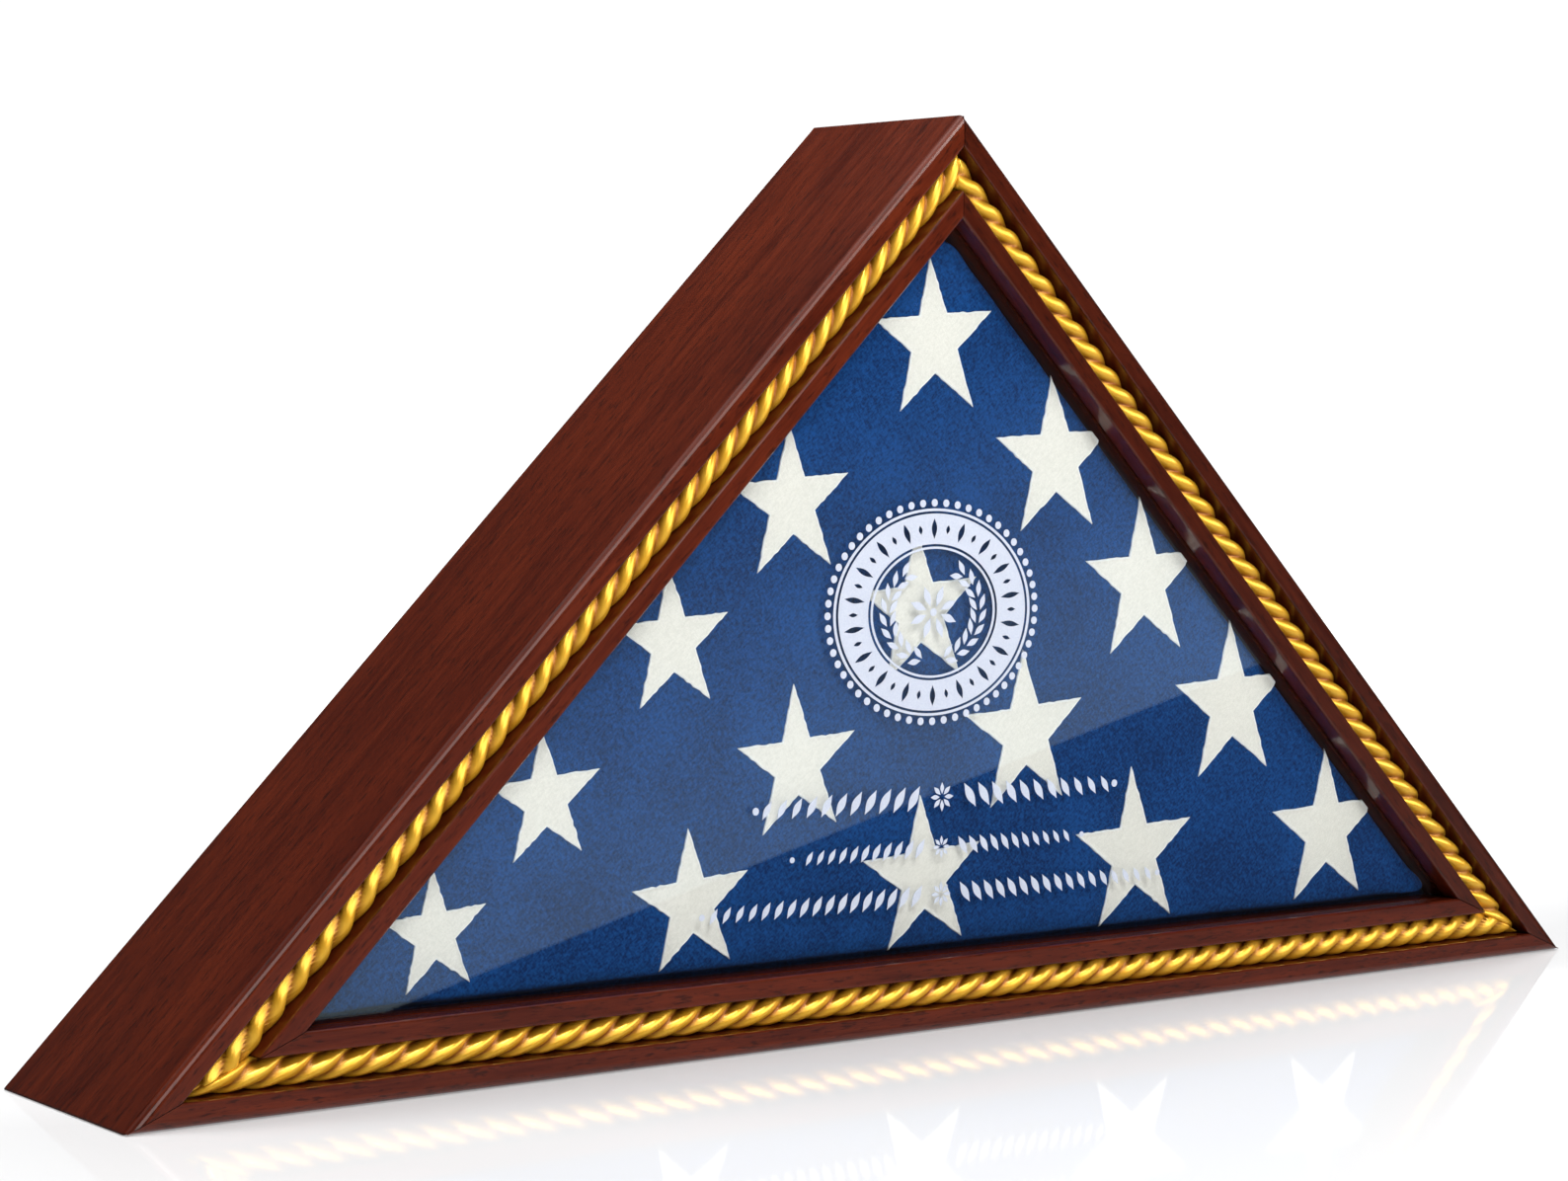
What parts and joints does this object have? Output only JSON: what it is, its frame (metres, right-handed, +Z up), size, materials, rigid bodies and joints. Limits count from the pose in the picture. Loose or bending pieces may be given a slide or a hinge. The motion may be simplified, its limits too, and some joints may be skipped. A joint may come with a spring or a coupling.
{
  "type": "folded flag display case",
  "caption": "Triangular mahogany display case with gold rope trim and a glass front, holding a folded flag; hinged back door with turn buttons.",
  "frame": {"origin": "on the underside of the base board, at the middle of the case's width and of its 88 mm depth, not counting the back hardware", "axes": "+X to the right seen from the glass side, +Y out of the back, +Z up to the apex; the glass faces -Y"},
  "size_m": [0.6494, 0.0927, 0.3248],
  "materials": {
    "mahogany": "satin lacquer",
    "plain_wood": "bare",
    "door_board": "stained, matt",
    "gold_rope": "metallic gold",
    "glass": "polished, etched ornament",
    "flag_cotton": "woven cotton",
    "brass": "polished",
    "steel": "zinc plated"
  },
  "bodies": {
    "case": {"base_board": "mahogany", "bezel_base": "mahogany", "bezel_left": "mahogany", "bezel_right": "mahogany", "folded_flag": "flag_cotton", "glass_pane": "glass", "glass_stop_base": "mahogany", "glass_stop_left": "mahogany", "glass_stop_right": "mahogany", "hanger_left_screw": "steel", "hanger_left_strap": "steel", "hanger_right_screw": "steel", "hanger_right_strap": "steel", "hinge_left_case_leaf": "brass", "hinge_left_case_screw_1": "brass", "hinge_left_case_screw_2": "brass", "hinge_left_pin": "steel", "hinge_right_case_leaf": "brass", "hinge_right_case_screw_1": "brass", "hinge_right_case_screw_2": "brass", "hinge_right_pin": "steel", "left_board": "mahogany", "mitre_spline_apex": "plain_wood", "mitre_spline_left": "plain_wood", "mitre_spline_right": "plain_wood", "right_board": "mahogany", "rope_trim_base": "gold_rope", "rope_trim_left": "gold_rope", "rope_trim_right": "gold_rope", "turn_button_left_screw": "brass", "turn_button_right_screw": "brass"},
    "door": {"back_door": "door_board", "hinge_left_door_leaf": "brass", "hinge_left_door_screw_1": "brass", "hinge_left_door_screw_2": "brass", "hinge_right_door_leaf": "brass", "hinge_right_door_screw_1": "brass", "hinge_right_door_screw_2": "brass"},
    "button_left": {"turn_button_left": "brass"},
    "button_right": {"turn_button_right": "brass"},
    "ring_left": {"hanger_left_ring": "steel"},
    "ring_right": {"hanger_right_ring": "steel"}
  },
  "joints": [
    {"name": "door_hinge", "type": "hinge", "parent": "case", "child": "door", "pos_m": [0, 0.0465, 0.0137], "axis": [-1, 0, 0], "range_deg": [0, 90]},
    {"name": "button_left_turn", "type": "hinge", "parent": "case", "child": "button_left", "pos_m": [-0.0624, 0.045, 0.25305], "axis": [0, -1, 0], "range_deg": [0, 90]},
    {"name": "button_right_turn", "type": "hinge", "parent": "case", "child": "button_right", "pos_m": [0.0624, 0.045, 0.25305], "axis": [0, 1, 0], "range_deg": [0, 90]},
    {"name": "ring_left_swing", "type": "hinge", "parent": "case", "child": "ring_left", "pos_m": [-0.12958, 0.0465, 0.18588], "axis": [0.7071, 0, -0.7071], "range_deg": [0, 180]},
    {"name": "ring_right_swing", "type": "hinge", "parent": "case", "child": "ring_right", "pos_m": [0.12958, 0.0465, 0.18588], "axis": [0.7071, 0, 0.7071], "range_deg": [0, 180]}
  ]
}
